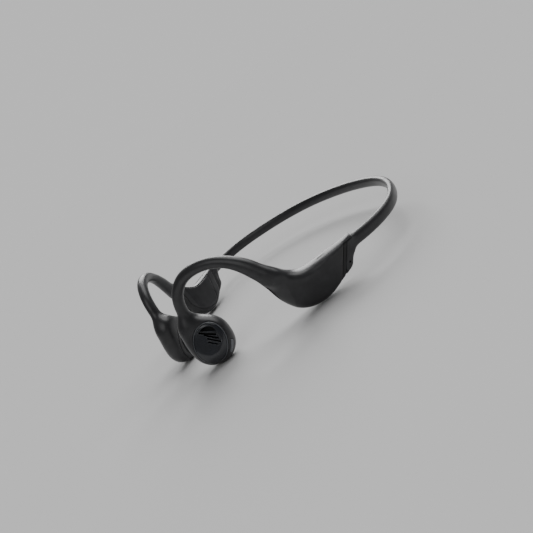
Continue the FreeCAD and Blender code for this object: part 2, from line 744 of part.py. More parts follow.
# ---------------------------------------------------------------- earpiece
ear_cavity = new_body("ear_cavity", EAR_FRAME)
cavity_form = new_sketch(ear_cavity, "form", lift=-dim("ear_inner_half") + dim("ear_wall"))
draw_ellipse(cavity_form, dim("ear_cavity_wide"), dim("ear_cavity_tall"), EAR_MIDDLE)
pad(ear_cavity, cavity_form, "dims.ear_inner_half + dims.ear_outer_half - 2 * dims.ear_wall")

key_spot = key_frame(EAR_FRAME, Vector(11.45, -2.1, 3.9), unit(0.97, -0.24), tilt=44.0)
multi_key, multi_slot = key_pair("multifunction_key", key_spot, dim("multi_key_long"),
                                 dim("multi_key_wide"), dim("multi_key_deep"))
keep(multi_key)


def ear_half(label, side, edge):
    body = new_body(label, EAR_FRAME)
    thick = dim("ear_outer_half") if side > 0 else dim("ear_inner_half")
    soft_block(body, EAR_OUTLINE, side * PARTING, side * thick, edge)
    return body


def vent_opening(body, low, high):
    """The arched opening and the louvre slots, as one cutting form between two levels."""
    arch = new_sketch(body, "arch", lift=low)
    draw_closed_curve(arch, VENT_ARCH)
    pad(body, arch, high - low)
    for i, ((x1, y1), (x2, y2), width) in enumerate(LOUVRES):
        slot = new_sketch(body, f"slot{i}", lift=low)
        length = math.hypot(x2 - x1, y2 - y1)
        turn = math.degrees(math.atan2(y2 - y1, x2 - x1))
        draw_box(slot, length, width, Vector((x1 + x2) / 2, (y1 + y2) / 2, 0), turn)
        pad(body, slot, high - low)


face_seat = new_body("face_seat", EAR_FRAME)
face_seat_form = new_sketch(face_seat, "form", lift=dim("ear_outer_half") - dim("face_deep"))
draw_ellipse(face_seat_form, dim("face_wide"), dim("face_tall"), FACE_MIDDLE)
pad(face_seat, face_seat_form, THROUGH)

window = new_body("vent_window", EAR_FRAME)
window_form = new_sketch(window, "form", lift=dim("ear_outer_half") - THROUGH)
draw_ellipse(window_form, dim("vent_wide"), dim("vent_tall"), VENT_MIDDLE)
pad(window, window_form, THROUGH)

outer_tools = [ear_cavity, hook_envelope, face_seat, window]
left_outer = cut("left_earpiece_outer_shell", ear_half("ear_outer_blank", 1,
                                                       dim("ear_outer_edge")),
                 *outer_tools, multi_slot)
keep(left_outer)
right_only("right_earpiece_outer_shell",
           cut("right_ear_outer_pattern", ear_half("right_ear_blank", 1, dim("ear_outer_edge")),
               *outer_tools))
both_sides("earpiece_inner_shell",
           cut("left_earpiece_inner_shell", ear_half("ear_inner_blank", -1,
                                                     dim("ear_inner_edge")),
               ear_cavity, hook_envelope))

gap = dim("face_gap")
trim = new_body("left_face_trim", EAR_FRAME)
trim_form = new_sketch(trim, "form", lift=dim("ear_outer_half") - dim("face_deep"))
draw_ellipse(trim_form, dim("face_wide") - gap, dim("face_tall") - gap, FACE_MIDDLE)
draw_ellipse(trim_form, dim("face_wide") - dim("trim_width"), dim("face_tall") -
             dim("trim_width"), FACE_MIDDLE)
pad(trim, trim_form, "dims.face_deep + dims.trim_proud")
both_sides("face_trim", trim)

panel = new_body("face_panel_blank", EAR_FRAME)
panel_form = new_sketch(panel, "form", lift=dim("ear_outer_half") - dim("face_deep"))
panel_inset = dim("trim_width") + gap
draw_ellipse(panel_form, dim("face_wide") - panel_inset, dim("face_tall") - panel_inset,
             FACE_MIDDLE)
pad(panel, panel_form, "dims.face_deep + dims.panel_proud")
vent_tool = new_body("vent_tool", EAR_FRAME)
vent_opening(vent_tool, dim("ear_outer_half") - THROUGH, dim("ear_outer_half") + THROUGH)
both_sides("face_panel", cut("left_face_panel", panel, vent_tool))

mesh = new_body("left_vent_mesh", EAR_FRAME)
mesh_level = dim("ear_outer_half") - dim("face_deep") - dim("mesh_thick") - SKIN
mesh_form = new_sketch(mesh, "form", lift=mesh_level)
draw_ellipse(mesh_form, dim("vent_wide") - FIT, dim("vent_tall") - FIT, VENT_MIDDLE)
pad(mesh, mesh_form, "dims.mesh_thick")
both_sides("vent_mesh", mesh)

cushion = new_body("left_contact_pad", EAR_FRAME)
cushion_form = new_sketch(cushion, "form", lift=-dim("ear_inner_half") - SKIN)
draw_ellipse(cushion_form, dim("pad_wide"), dim("pad_tall"), EAR_MIDDLE)
cushion_pad = pad(cushion, cushion_form, "dims.pad_thick", reverse=True)
cushion_round = cushion.newObject("PartDesign::Fillet", "contact_pad_round")
doc.recompute()
top_edge = min(range(len(cushion_pad.Shape.Edges)),
               key=lambda i: cushion_pad.Shape.Edges[i].BoundBox.ZMax)
cushion_round.Base = (cushion_pad, [f"Edge{top_edge + 1}"])
cushion_round.Radius = dim("pad_round")
both_sides("contact_pad", cushion)


# ---------------------------------------------------------------- transducer, in the earpiece
def disc(label, low, high, outer, inner=None):
    """A disc or ring about the transducer's axis; the radii are sheet expressions."""
    body = new_body(label, EAR_FRAME)
    form = new_sketch(body, "form", lift=low)
    draw_circle(form, outer, EAR_MIDDLE)
    if inner:
        draw_circle(form, inner, EAR_MIDDLE)
    pad(body, form, high - low)
    return body


# The bracket stands on the cavity's floor and carries the coil; the cup and magnet hang from the
# flexure and move about the coil.
bracket_low = dim("ear_wall") - dim("ear_inner_half") + PARTING
bracket_high = bracket_low + dim("bracket_thick")
both_sides("transducer_bracket", disc("left_transducer_bracket", bracket_low, bracket_high,
                                      "dims.frame_radius", "dims.bracket_bore"))
both_sides("voice_coil", disc("left_voice_coil", bracket_high + SKIN, dim("coil_level"),
                              "dims.coil_outer", "dims.coil_inner"))
flexure_high = dim("flexure_level") + dim("flexure_thick")
both_sides("flexure_plate", disc("left_flexure_plate", dim("flexure_level"), flexure_high,
                                 "dims.frame_radius", "dims.flexure_bore"))
cup_high = dim("cup_level") + dim("cup_plate")
yoke = disc("left_driver_yoke", dim("cup_level"), cup_high, "dims.yoke_radius")
cup_middle = dim("cup_level") + dim("cup_plate") / 2
skirt = new_sketch(yoke, "skirt", lift=dim("skirt_level"))
draw_circle(skirt, "dims.yoke_radius", EAR_MIDDLE)
draw_circle(skirt, "dims.yoke_bore", EAR_MIDDLE)
pad(yoke, skirt, cup_middle - dim("skirt_level"))
stud = new_sketch(yoke, "stud", lift=cup_middle)
draw_circle(stud, "dims.stud_radius", EAR_MIDDLE)
pad(yoke, stud, dim("stud_level") - cup_middle)
both_sides("driver_yoke", yoke)
both_sides("driver_magnet", disc("left_driver_magnet", dim("skirt_level"),
                                 dim("cup_level") - SKIN, "dims.magnet_radius"))


def switch_under(label, frame, kind):
    """The switch that a key of this kind presses."""
    thick = dim(f"{kind}_switch_deep")
    body = new_body(label, frame)
    form = new_sketch(body, "form", lift=-dim(f"{kind}_key_deep") - dim("switch_gap") - thick)
    draw_box(form, dim(f"{kind}_switch_long"), dim(f"{kind}_switch_wide"))
    pad(body, form, thick)
    return body


keep(switch_under("multifunction_switch", key_spot, "multi"))
volume_switches = [switch_under(f"volume_switch{i}", frame, "volume")
                   for i, frame in enumerate(volume_keys.values())]
switch_group = doc.addObject("Part::Compound", "volume_key_switches_pattern")
switch_group.Links = volume_switches
right_only("volume_key_switches", switch_group)

# ---------------------------------------------------------------- check and export
doc.recompute()
for obj in doc.Objects:
    if "Invalid" in obj.State or "Error" in obj.State:
        raise RuntimeError(f"{obj.Name} failed to compute: {obj.State}")

os.makedirs("parts", exist_ok=True)
low = Vector(1e9, 1e9, 1e9)
high = Vector(-1e9, -1e9, -1e9)
for part in sub_parts:
    shape = part.Shape
    if shape.isNull() or not shape.isValid() or not shape.Solids:
        raise RuntimeError(f"{part.Label} has no valid solid")
    shape.exportStep(f"parts/{part.Label}.step")
    box = shape.BoundBox
    low = Vector(min(low.x, box.XMin), min(low.y, box.YMin), min(low.z, box.ZMin))
    high = Vector(max(high.x, box.XMax), max(high.y, box.YMax), max(high.z, box.ZMax))
    print(f"{part.Label:30s} {shape.Volume:9.1f} mm3  {len(shape.Solids)} solid(s)")
print(len(sub_parts), "sub-parts, box", low, high)
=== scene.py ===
import json
import math

import bmesh
import bpy
import numpy as np
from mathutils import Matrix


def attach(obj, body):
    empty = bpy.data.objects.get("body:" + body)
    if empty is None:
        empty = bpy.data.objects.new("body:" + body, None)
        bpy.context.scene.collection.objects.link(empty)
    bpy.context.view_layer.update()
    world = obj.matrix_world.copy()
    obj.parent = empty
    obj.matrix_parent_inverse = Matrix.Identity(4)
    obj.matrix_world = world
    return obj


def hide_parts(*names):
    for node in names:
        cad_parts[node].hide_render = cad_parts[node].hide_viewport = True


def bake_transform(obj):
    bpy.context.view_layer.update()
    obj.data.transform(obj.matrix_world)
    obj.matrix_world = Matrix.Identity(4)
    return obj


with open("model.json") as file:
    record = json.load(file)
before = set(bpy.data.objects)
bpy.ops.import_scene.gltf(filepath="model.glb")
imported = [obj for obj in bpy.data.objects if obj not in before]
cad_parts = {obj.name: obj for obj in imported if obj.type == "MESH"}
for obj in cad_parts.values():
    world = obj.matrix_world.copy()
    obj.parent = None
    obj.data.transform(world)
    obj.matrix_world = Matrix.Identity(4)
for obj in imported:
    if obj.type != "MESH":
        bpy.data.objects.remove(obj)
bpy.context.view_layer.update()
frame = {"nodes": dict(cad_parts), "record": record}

import openvdb
from mathutils import Matrix, Vector

# Bone conduction headphones. The moulded skins are fields: functions that give, for points in
# millimetres, the distance outside a surface. Every skin is meshed from its field, so the hook
# flows into the pod and the earpiece as one moulding. The left side is the model, and the right
# side is made from the same fields in the plane mirrored in x = 0.

MM = 0.001

# ---------------------------------------------------------------- dimensions, as in the CAD (mm)
BAND_LEVEL = 15.1
BAND_REAR = 67.0
BAND_HALF_THICK = 1.95
BAND_HALF_TALL = 2.85
BAND_ROUTE = [(6.0, 0), (129.8, 11.3), (75.6, 41.0), (31.45, 63.9), (8.0, 0)]
WIRE_RADIUS = 0.55
CABLE_RADIUS = 0.65
CORE_OFFSET = 1.0
HOOK_RADIUS = 2.75
HOOK_ROUTE = [(8.5, 0), (29.0, 67.6), (17.9, 67.0), (10.0, 0)]
POD_HALF = 4.75
SEAM_TOP = (25.8, 3.8)
SEAM_SLANT = math.radians(25.4)
EAR_OUTER = 6.0
EAR_INNER = 5.2
EAR_MIDDLE = (1.6, 1.6)
FACE_MIDDLE = (1.8, 1.1)
FACE_SIZE = (8.2, 10.2)
PAD_SIZE = (6.6, 8.4)
CHARGE = (7.0, -7.5)
RECESS_SIZE = (13.0, 5.0)
RECESS_FLOOR = 4.30
CONTACT_SHIFT = 2.2
CONTACT_HOLE = 0.95
LIGHT = (18.0, -5.0)
LIGHT_RADIUS = 0.6
LIGHT_HOLE = 0.68
MULTI_KEY_SIZE = (6.6, 1.8)
MULTI_KEY_DEEP = 2.1
VOLUME_KEY_SIZE = (4.8, 2.0)
VOLUME_KEY_DEEP = 2.3
KEY_GAP = 0.15
KEY_ROOM = 0.8
MIC_HOLE = 0.42

# ---------------------------------------------------------------- dimensions of the skins (mm)
# Half the pod's thickness falls by so much, from and to so far towards the hook and the band.
HOOK_TAPER = (2.0, 0.0, 14.0)
BAND_TAPER = (2.2, 12.0, 31.0)
# The pod leans outward by LEAN for each mm in front of LEAN_START, to meet the hook.
LEAN = 0.28
LEAN_START = -5.0
# How deep the pod's rounded edges reach, at places along it.
OUTER_EDGE = ((-5.0, 5.4), (5.0, 4.0), (16.0, 2.1), (27.0, 1.2))
INNER_EDGE = ((10.0, 3.2), (27.0, 1.6))
POD_POWER = 2.5
# The earpiece's edges: how deep, and the superellipse's power.
EAR_OUTER_EDGE = (6.4, 2.2)
EAR_INNER_EDGE = (5.0, 2.3)
BAND_POWER = 2.3
HOOK_SWELL = (1.35, 0.5)
POD_JOIN = 4.0
EAR_JOIN = 4.5
# The pod's top edge behind the seam: its height at a place along the pod, and its slope.
TOP_EDGE = (19.0, 1.6)
TOP_SLOPE = 0.2118
TONGUE_DEEP = 1.1
TONGUE_TIP = 3.3
STRIP_TIP = (3.36, 3.4)
STRIP_SPAN = (0.02, 1.47)
STRIP_SUNK = 0.12
BOOT_START = 1.5
BOOT_END = 5.2
BOOT_SUNK = 0.05
# The covers: where each lies inside its outline, and how deep its parting line is.
POD_LID_MARGIN = 1.7
POD_LID_FRONT = -8.6
POD_LID_BEFORE_SEAM = 5.0
POD_LID_LEVEL = 2.6
EAR_LID_SIZE = (8.9, 10.6)
EAR_LID_LEVEL = 2.4
LID_GAP = 0.06
LID_ROUND = 0.25
EAR_ROOM_SIZE = (8.2, 9.8)
EAR_ROOM_SPAN = (0.4, 4.1)
PAD_LEVEL = 4.95
PAD_GAP = 0.12
PAD_DISH = (4.6, 6.2)
# The face: floors of its seat, panel, rim and slots over the earpiece's mid plane, and how far
# the panel and the rim's ring lie inside the seat.
SEAT_FLOOR = 3.9
PANEL_FLOOR = 4.05
RIM_FLOOR = 4.1
SLOT_FLOOR = 3.0
SLOT_ROUND = 0.12
PANEL_INSET = 0.62
RIM_INSET = 0.32
RIM_WIDE = 0.42
MESH_MIDDLE = (2.4, 4.3)
MESH_SIZE = (5.1, 5.3)
MESH_LEVEL = 3.8
MESH_HALF = 0.15

POD_OUTLINE = [
    (10.0, -0.1), (3.0, -0.3), (-2.0, 2.0), (-6.4, 5.4), (-10.6, 5.8), (-13.3, 3.0), (-12.7, -2.5),
    (-10.9, -7.5), (-8.3, -12.2), (-3.8, -16.6), (3.5, -18.8), (10.5, -17.7), (17.8, -13.9),
    (23.6, -11.0), (28.5, -8.1), (33.1, -4.8), (36.4, -1.4), (37.2, 2.2), (34.0, 4.7),
    (27.5, 3.4), (19.0, 1.6),
]
EAR_OUTLINE = [
    (-0.5, -10.1), (5.3, -9.4), (10.4, -5.9), (12.6, -0.2), (11.5, 5.3), (8.7, 10.1), (4.3, 13.0),
    (-1.0, 14.4), (-6.5, 15.4), (-11.2, 13.9), (-13.1, 9.5), (-11.9, 3.8), (-9.5, -2.2),
    (-5.9, -7.4),
]
# Louvre slots on the face: the two ends of each, (back, up) from the earpiece's centre, and its
# width; and the arched recess that the upper ones lie in.
LOUVRES = [
    ((-2.3, 6.75), (5.0, 5.0), 0.85),
    ((0.0, 5.4), (5.8, 3.2), 0.8), ((1.1, 3.6), (6.6, 1.5), 0.75), ((1.0, 2.0), (5.3, 0.4), 0.6),
]
ARCH_OUTLINE = [
    (-2.9, 6.4), (-1.7, 7.9), (0.1, 9.0), (2.2, 9.3), (4.2, 8.6), (5.6, 6.5), (6.7, 3.9),
    (7.2, 1.6), (5.8, 2.0), (2.6, 3.7), (-0.6, 5.2),
]


# ---------------------------------------------------------------- frames
class Place:
    """An origin with three unit axes as rows; local() takes points into it."""

    def __init__(self, origin, axes):
        self.origin = np.array(origin, float)
        self.axes = np.array(axes, float)

    def local(self, points):
        return (points - self.origin) @ self.axes.T

    def out(self, point):
        return np.array(point, float) @ self.axes + self.origin


def standing(origin, yaw, dip, lean):
    """X along yaw and dipping, Y upward, Z the outward normal, leaning down by lean."""
    turn = Matrix.Rotation(math.radians(yaw), 3, "Z") @ Matrix.Rotation(math.radians(dip), 3, "Y")
    turn = turn @ Matrix.Rotation(math.radians(90 + lean), 3, "X")
    return Place(origin, np.array(turn.transposed()))


def key_place(host, foot, outward, tilt=0.0):
    """Z out of the surface and tilted towards the host's, X along the edge, Y across."""
    across = Vector((outward[0], outward[1], 0)).normalized()
    along = Vector((-across.y, across.x, 0))
    out = Matrix.Rotation(math.radians(-tilt), 3, along) @ across
    axes = np.array([along, out.cross(along), out])
    return Place(host.out(foot), axes @ host.axes)


POD = standing((61.40, -23.13, 20.05), 64.7, 9.3, 11.6)
EAR = standing((19.24, -58.73, 10.60), 49.6, 23.9, -12.0)
HOOK = standing((58.44, -31.14, 23.49), 215.0, -59.3, 0)
BAND = Place((-6.0, BAND_REAR, BAND_LEVEL), np.eye(3))
MULTI_KEY = key_place(EAR, (11.45, -2.1, 3.9), (0.97, -0.24), tilt=44.0)
VOLUME_KEYS = {
    "volume_up_key": key_place(POD, (-9.75, -9.75, 0), (-0.867, -0.498)),
    "volume_down_key": key_place(POD, (-6.0, -14.85, 0), (-0.73, -0.684)),
}


# ---------------------------------------------------------------- plane curves
def smooth_loop(points, per_span=14):
    """A closed curve through the points with continuous curvature, as many short chords."""
    p = np.array(points, float)
    n = len(p)
    chord = np.linalg.norm(np.roll(p, -1, 0) - p, axis=1)
    a = np.zeros((n, n))
    b = np.zeros((n, 2))
    for i in range(n):
        before = chord[i - 1]
        after = chord[i]
        a[i, i - 1] += after
        a[i, i] += 2 * (before + after)
        a[i, (i + 1) % n] += before
        b[i] = 3 * (after / before * (p[i] - p[i - 1]) + before / after * (p[(i + 1) % n] - p[i]))
    slope = np.linalg.solve(a, b)
    t = np.linspace(0, 1, per_span, endpoint=False)[:, None]
    spans = []
    for i in range(n):
        j = (i + 1) % n
        h00 = 2 * t ** 3 - 3 * t ** 2 + 1
        h10 = (t ** 3 - 2 * t ** 2 + t) * chord[i]
        h01 = 3 * t ** 2 - 2 * t ** 3
        h11 = (t ** 3 - t ** 2) * chord[i]
        spans.append(h00 * p[i] + h10 * slope[i] + h01 * p[j] + h11 * slope[j])
    return np.vstack(spans)


def route_points(runs, step=0.5):
    """Points along straight runs (length, 0) and right-hand arcs (radius, degrees) from the
    origin along X."""
    here = np.zeros(2)
    heading = 0.0
    points = [here]
    for size, turn in runs:
        angle = math.radians(turn)
        length = size * angle if turn else size
        count = max(2, int(length / step))
        start = here
        for share in np.linspace(0, 1, count + 1)[1:]:
            if turn:
                swing = heading - share * angle
                side = np.array([math.sin(heading) - math.sin(swing),
                                 math.cos(swing) - math.cos(heading)])
                here = start + size * side
            else:
                here = start + size * share * np.array([math.cos(heading), math.sin(heading)])
            points.append(here)
        heading -= angle
    return np.array(points)


def to_segments(points, a, b):
    """Distance from each point to the nearest segment a-b, and which side of it, + is left."""
    run = b - a
    best = np.full(len(points), 1e9)
    side = np.zeros(len(points))
    for i in range(len(a)):
        gap = points - a[i]
        share = np.clip(gap @ run[i] / (run[i] @ run[i]), 0, 1)
        off = gap - share[:, None] * run[i]
        distance = np.hypot(off[:, 0], off[:, 1])
        closer = distance < best
        best[closer] = distance[closer]
        side[closer] = (run[i][0] * gap[:, 1] - run[i][1] * gap[:, 0])[closer]
    return best, side


class Plane:
    """A table of plane distances over a grid, read by bilinear interpolation."""

    def __init__(self, curve, closed, margin=9.0, step=0.25):
        self.step = step
        self.low = curve.min(0) - margin
        size = np.ceil((curve.max(0) + margin - self.low) / step).astype(int) + 2
        grid = np.stack(np.meshgrid(*[np.arange(s) for s in size], indexing="ij"), -1)
        points = grid.reshape(-1, 2) * step + self.low
        ends = np.roll(curve, -1, 0) if closed else curve[1:]
        starts = curve if closed else curve[:-1]
        distance, side = to_segments(points, starts, ends)
        if closed:
            inside = np.zeros(len(points), bool)
            for a, b in zip(starts, ends):
                spans = (a[1] > points[:, 1]) != (b[1] > points[:, 1])
                rise = b[1] - a[1] if abs(b[1] - a[1]) > 1e-12 else 1e-12
                inside ^= spans & (points[:, 0] < (b[0] - a[0]) * (points[:, 1] - a[1]) / rise
                                   + a[0])
            distance = np.where(inside, -distance, distance)
        self.table = distance.reshape(size)
        self.signed = (distance * np.sign(side)).reshape(size)
        self.size = size

    def read(self, x, y, table=None):
        table = self.table if table is None else table
        u = np.clip((x - self.low[0]) / self.step, 0, self.size[0] - 1.001)
        v = np.clip((y - self.low[1]) / self.step, 0, self.size[1] - 1.001)
        i = u.astype(int)
        j = v.astype(int)
        s = u - i
        t = v - j
        low = table[i, j] * (1 - s) + table[i + 1, j] * s
        high = table[i, j + 1] * (1 - s) + table[i + 1, j + 1] * s
        return low * (1 - t) + high * t


pod_plane = Plane(smooth_loop(POD_OUTLINE), closed=True)
ear_plane = Plane(smooth_loop(EAR_OUTLINE), closed=True)
hook_plane = Plane(route_points(HOOK_ROUTE), closed=False)
band_plane = Plane(route_points(BAND_ROUTE, 0.8), closed=False, margin=5.0)
arch_plane = Plane(smooth_loop(ARCH_OUTLINE, 8), closed=True, margin=4.0, step=0.15)


# ---------------------------------------------------------------- fields
def smooth_min(a, b, reach):
    """The union of two fields, filleted over reach."""
    h = np.clip(0.5 + 0.5 * (b - a) / reach, 0, 1)
    return b + (a - b) * h - reach * h * (1 - h)


def smooth_max(a, b, reach):
    return -smooth_min(-a, -b, reach)


def pillow(inward, across, edge, half, power):
    """A plate whose outline distance is inward and whose height over its mid plane is across,
    rounded like a superellipse edge deep and half tall."""
    q = np.maximum(inward + edge, 0) / edge
    r = np.abs(across) / half
    whole = np.maximum((q ** power + r ** power) ** (1 / power), 1e-6)
    dq = (q / whole) ** (power - 1) / edge
    dr = (r / whole) ** (power - 1) / half
    return (whole - 1) / np.maximum(np.hypot(dq, dr), 1e-3)


def smooth_step(x, start, stop):
    t = np.clip((x - start) / (stop - start), 0, 1)
    return t * t * (3 - 2 * t)


def pod_form(p):
    """The pod thins towards the hook, which it leans with, and towards the neckband, and its
    rounded edges tighten rearwards."""
    a, b, n = POD.local(p).T
    leaning = n + LEAN * np.maximum(LEAN_START - a, 0)
    half = (POD_HALF - HOOK_TAPER[0] * smooth_step(-a, *HOOK_TAPER[1:])
            - BAND_TAPER[0] * smooth_step(a, *BAND_TAPER[1:]))
    edge = np.where(n > 0, np.interp(a, *zip(*OUTER_EDGE)), np.interp(a, *zip(*INNER_EDGE)))
    return pillow(pod_plane.read(a, b), leaning, edge, half, POD_POWER)


def ear_form(p):
    v, u, n = EAR.local(p).T
    outer = pillow(ear_plane.read(v, u), n, EAR_OUTER_EDGE[0], EAR_OUTER, EAR_OUTER_EDGE[1])
    inner = pillow(ear_plane.read(v, u), n, EAR_INNER_EDGE[0], EAR_INNER, EAR_INNER_EDGE[1])
    return np.where(n > 0, outer, inner)


def hook_form(p):
    """A round bar that swells as it comes to the pod, and tapers inside it."""
    x, y, z = HOOK.local(p).T
    swell = smooth_step(-x, -24.0, -6.0) * (1 - 0.7 * smooth_step(-x, -6.0, 3.0))
    tall = HOOK_RADIUS + HOOK_SWELL[0] * swell
    thick = HOOK_RADIUS + HOOK_SWELL[1] * swell
    swollen = (x > 0.3) & (x < 25.0) & (y > -12.0)
    shifted = hook_plane.read(x, y, hook_plane.signed) + 0.35 * swell * smooth_step(x, 3.0, 9.0)
    across = np.where(swollen, shifted, hook_plane.read(x, y))
    return np.hypot(across, z * tall / thick) - tall


def band_form(p):
    x, y, z = BAND.local(p).T
    q = np.abs(band_plane.read(x, y)) / BAND_HALF_THICK
    r = np.abs(z) / BAND_HALF_TALL
    whole = np.maximum((q ** BAND_POWER + r ** BAND_POWER) ** (1 / BAND_POWER), 1e-6)
    slope = np.hypot((q / whole) ** (BAND_POWER - 1) / BAND_HALF_THICK,
                     (r / whole) ** (BAND_POWER - 1) / BAND_HALF_TALL)
    return (whole - 1) / np.maximum(slope, 1e-3)


def behind_seam(a, b):
    """Distance behind the slanted seam, and depth below the pod's straight top edge there."""
    along = (a - SEAM_TOP[0]) * math.cos(SEAM_SLANT) - (b - SEAM_TOP[1]) * math.sin(SEAM_SLANT)
    depth = (TOP_EDGE[1] + (a - TOP_EDGE[0]) * TOP_SLOPE) - b
    return along, depth


def oval(x, y, middle, size):
    """Outline distance of an ellipse, near enough close to its edge."""
    q = (x - middle[0]) / size[0]
    r = (y - middle[1]) / size[1]
    whole = np.maximum(np.hypot(q, r), 1e-6)
    slope = np.hypot(q / size[0], r / size[1]) / whole
    return (whole - 1) / slope


def pill(x, y, length, width):
    return np.hypot(np.maximum(np.abs(x) - (length - width) / 2, 0), y) - width / 2


def moulding(p):
    """Pod, hook and earpiece as one smooth form."""
    body = smooth_min(pod_form(p), hook_form(p), POD_JOIN)
    return smooth_min(body, ear_form(p), EAR_JOIN)


def tongue_cut(p, seam, tip, lift):
    """Negative in front of the seam, and on the tongue that runs back along the top edge."""
    a, b, n = POD.local(p).T
    along, depth = behind_seam(a, b)
    return np.minimum(along - seam, np.maximum(along - tip, depth - TONGUE_DEEP - lift))


def pod_lid(p):
    """The region of the pod's cover, on the side against the head."""
    a, b, n = POD.local(p).T
    along, depth = behind_seam(a, b)
    plan = np.maximum(pod_plane.read(a, b) + POD_LID_MARGIN, along + POD_LID_BEFORE_SEAM)
    plan = np.maximum(plan, POD_LID_FRONT - a)
    return smooth_max(plan, n + POD_LID_LEVEL, 0.4)


def ear_lid(p):
    """The region of the earpiece's cover, on the side against the cheek."""
    v, u, n = EAR.local(p).T
    return smooth_max(oval(v, u, EAR_MIDDLE, EAR_LID_SIZE), n + EAR_LID_LEVEL, 0.4)


def ear_room(p):
    """The room for the transducer inside the earpiece."""
    v, u, n = EAR.local(p).T
    wall = np.abs(n - EAR_ROOM_SPAN[0]) - EAR_ROOM_SPAN[1]
    return np.maximum(oval(v, u, EAR_MIDDLE, EAR_ROOM_SIZE), wall)


def key_slot(p, place, size, deep):
    """The slot that a key moves in, with room below the key."""
    x, y, z = place.local(p).T
    plan = pill(x, y, size[0] + 2 * KEY_GAP, size[1] + 2 * KEY_GAP)
    return np.maximum(plan, -z - (deep + KEY_ROOM))


def face_seat(p):
    v, u, n = EAR.local(p).T
    return np.maximum(oval(v, u, FACE_MIDDLE, FACE_SIZE), SEAT_FLOOR - n)


def housing(p, side):
    """The unibody: pod, hook and earpiece outer, in front of the seam."""
    f = smooth_max(moulding(p), tongue_cut(p, 0.0, TONGUE_TIP, 0.0), 0.7)
    f = smooth_max(f, LID_GAP - pod_lid(p), LID_ROUND)
    f = smooth_max(f, LID_GAP - ear_lid(p), LID_ROUND)
    f = smooth_max(f, -face_seat(p), 0.3)
    f = np.maximum(f, -ear_room(p))
    if side == "left":
        f = smooth_max(f, -key_slot(p, MULTI_KEY, MULTI_KEY_SIZE, MULTI_KEY_DEEP), 0.2)
    else:
        for place in VOLUME_KEYS.values():
            f = smooth_max(f, -key_slot(p, place, VOLUME_KEY_SIZE, VOLUME_KEY_DEEP), 0.2)
        a, b, n = POD.local(p).T
        hole = np.maximum(np.hypot(a - LIGHT[0], b - LIGHT[1]) - LIGHT_HOLE, 1.0 - n)
        f = smooth_max(f, -hole, 0.15)
        recess = pill(a - CHARGE[0], b - CHARGE[1], *RECESS_SIZE)
        f = smooth_max(f, -np.maximum(recess, RECESS_FLOOR - n), 0.25)
        for shift in (-CONTACT_SHIFT, CONTACT_SHIFT):
            pin = np.hypot(a - CHARGE[0] - shift, b - CHARGE[1]) - CONTACT_HOLE
            f = np.maximum(f, -np.maximum(pin, 2.0 - n))
    return f


def light_pipe(p, side):
    """The round light pipe, its end a little below the pod's surface."""
    a, b, n = POD.local(p).T
    return np.maximum(np.hypot(a - LIGHT[0], b - LIGHT[1]) - LIGHT_RADIUS,
                      np.maximum(pod_form(p) + 0.1, 1.6 - n))


def pod_cover(p, side):
    f = smooth_max(moulding(p), pod_lid(p) + LID_GAP, LID_ROUND)
    a, b, n = POD.local(p).T
    return np.maximum(f, -n - POD_HALF)


def ear_cover(p, side):
    f = smooth_max(moulding(p), ear_lid(p) + LID_GAP, LID_ROUND)
    v, u, n = EAR.local(p).T
    room = (PAD_SIZE[0] + PAD_GAP, PAD_SIZE[1] + PAD_GAP)
    seat = np.maximum(oval(v, u, EAR_MIDDLE, room), n + 4.9)
    return np.maximum(smooth_max(f, -seat, 0.2), -ear_room(p))


def contact_pad(p, side):
    """A soft crowned oval with a shallow dished centre."""
    v, u, n = EAR.local(p).T
    edge = oval(v, u, EAR_MIDDLE, PAD_SIZE)
    crown = pillow(edge, n + 5.0, 2.6, 1.0, 2.2)
    dish = np.hypot((v - EAR_MIDDLE[0]) / PAD_DISH[0], (u - EAR_MIDDLE[1]) / PAD_DISH[1])
    crown = crown + 0.14 * np.clip(1 - dish ** 2, 0, 1)
    return np.maximum(crown, n + PAD_LEVEL)


def seam_strip(p, side):
    """The recessed elastomer strip behind the seam."""
    start = tongue_cut(p, STRIP_SPAN[0], STRIP_TIP[0], 0.06)
    stop = tongue_cut(p, STRIP_SPAN[1], STRIP_TIP[1], 0.0)
    return smooth_max(smooth_max(pod_form(p) + STRIP_SUNK, -start, 0.1), stop, 0.1)


def band_half(p, side):
    """Half the neckband with its boot, whose end is rounded at its top edge and drawn in
    tighter below, where it fairs into the band."""
    a, b, n = POD.local(p).T
    along, depth = behind_seam(a, b)
    low = smooth_step(depth, 3.0, 8.0)
    boot = smooth_max(pod_form(p) + BOOT_SUNK, along - BOOT_END, 3.0 - 1.8 * low)
    boot = smooth_max(boot, 0.6 + 1.8 * smooth_step(along, 3.0, 6.0) - depth, 1.0)
    f = smooth_min(boot, band_form(p), 1.4 + 2.4 * low)
    f = smooth_max(f, -tongue_cut(p, BOOT_START, STRIP_TIP[1], 0.08), 0.5)
    if side == "left":
        hole = np.maximum(np.hypot(a - MIC_SPOT[0], b - MIC_SPOT[1]) - MIC_HOLE, 1.2 - n)
        f = smooth_max(f, -hole, 0.2)
    return f


def seam_point(along, up):
    """The pod's own coordinates of a point behind the seam and up from its top."""
    foot = (SEAM_TOP[0] + math.sin(SEAM_SLANT) * up, SEAM_TOP[1] + math.cos(SEAM_SLANT) * up)
    return foot[0] + math.cos(SEAM_SLANT) * along, foot[1] - math.sin(SEAM_SLANT) * along


MIC_SPOT = seam_point(3.4, -10.5)


def louvre(v, u, ends, width):
    """Outline distance of a slot with round ends."""
    a = np.array(ends[0])
    b = np.array(ends[1])
    run = b - a
    share = np.clip(((v - a[0]) * run[0] + (u - a[1]) * run[1]) / (run @ run), 0, 1)
    return np.hypot(v - a[0] - share * run[0], u - a[1] - share * run[1]) - width / 2


